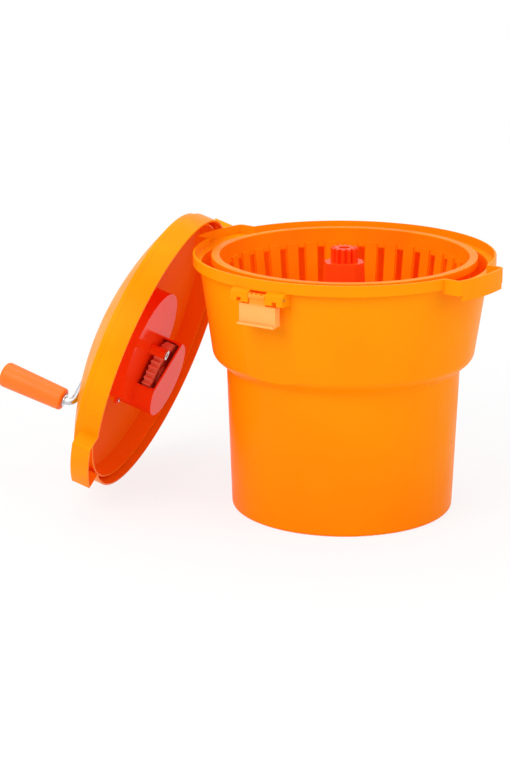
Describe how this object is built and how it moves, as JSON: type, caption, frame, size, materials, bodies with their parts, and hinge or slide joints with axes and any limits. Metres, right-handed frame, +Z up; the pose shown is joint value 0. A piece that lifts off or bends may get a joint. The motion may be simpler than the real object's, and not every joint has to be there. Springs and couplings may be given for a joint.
{
  "type": "salad spinner",
  "caption": "Large hand-cranked salad spinner in orange plastic, its lid taken off and leaning on the tub, basket and gear drive in view.",
  "frame": {"origin": "centre of the tub's base, on the floor", "axes": "+Z up along the tub's axis; +X along the line through both tub handles, away from the leaning lid"},
  "size_m": [0.6578, 0.4906, 0.369],
  "materials": {
    "shell_orange": "semi-gloss moulded orange",
    "basket_orange": "semi-gloss moulded orange",
    "latch_orange": "semi-gloss moulded orange",
    "drive_red": "semi-gloss moulded red-orange",
    "gear_nylon": "satin nylon",
    "bearing_nylon": "satin natural nylon",
    "knob_orange": "semi-gloss moulded dark orange",
    "steel": "polished"
  },
  "bodies": {
    "tub": {"tub": "shell_orange", "pivot_pin": "steel", "thrust_washer": "bearing_nylon", "latch_pins": "steel"},
    "latch_front": {"latch_front": "latch_orange"},
    "latch_back": {"latch_back": "latch_orange"},
    "bush": {"pivot_bush": "bearing_nylon"},
    "basket": {"basket": "basket_orange", "basket_column": "drive_red", "basket_pinion": "drive_red", "pinion_clip": "steel", "column_screws": "steel"},
    "lid": {"lid": "shell_orange", "drive_housing": "drive_red", "housing_screws": "steel", "gear_cover": "drive_red", "centre_pin": "drive_red", "pin_tip": "steel", "crank_bush": "drive_red"},
    "crank": {"crank": "steel", "crank_washer": "steel", "spacer_tube": "drive_red", "drive_gear": "gear_nylon", "gear_nut": "steel", "knob_washer": "steel", "push_nut": "steel"},
    "knob": {"knob": "knob_orange", "knob_cap": "knob_orange"}
  },
  "joints": [
    {"name": "latch_front_swing", "type": "hinge", "parent": "tub", "child": "latch_front", "pos_m": [0.01368, -0.19562, 0.3166], "axis": [-0.9976, -0.0698, 0], "range_deg": [0, 180]},
    {"name": "latch_back_swing", "type": "hinge", "parent": "tub", "child": "latch_back", "pos_m": [-0.01368, 0.19562, 0.3166], "axis": [0.9976, 0.0698, 0], "range_deg": [0, 180]},
    {"name": "basket_spin", "type": "hinge", "parent": "tub", "child": "bush", "pos_m": [0, 0, 0.05], "axis": [0, 0, 1], "continuous": true},
    {"name": "basket_lift", "type": "slide", "parent": "bush", "child": "basket", "axis": [0, 0, 1], "range_m": [0, 0.36]},
    {"name": "lid_lift", "type": "slide", "parent": "tub", "child": "lid", "axis": [0, 0, 1], "range_m": [0, 0.4]},
    {"name": "crank_turn", "type": "hinge", "parent": "lid", "child": "crank", "pos_m": [-0.26139, -0.05723, 0.1366], "axis": [-0.8862, -0.3313, 0.3239], "continuous": true},
    {"name": "knob_spin", "type": "hinge", "parent": "crank", "child": "knob", "pos_m": [-0.26167, -0.11655, 0.07516], "axis": [-0.8862, -0.3313, 0.3239], "continuous": true}
  ]
}
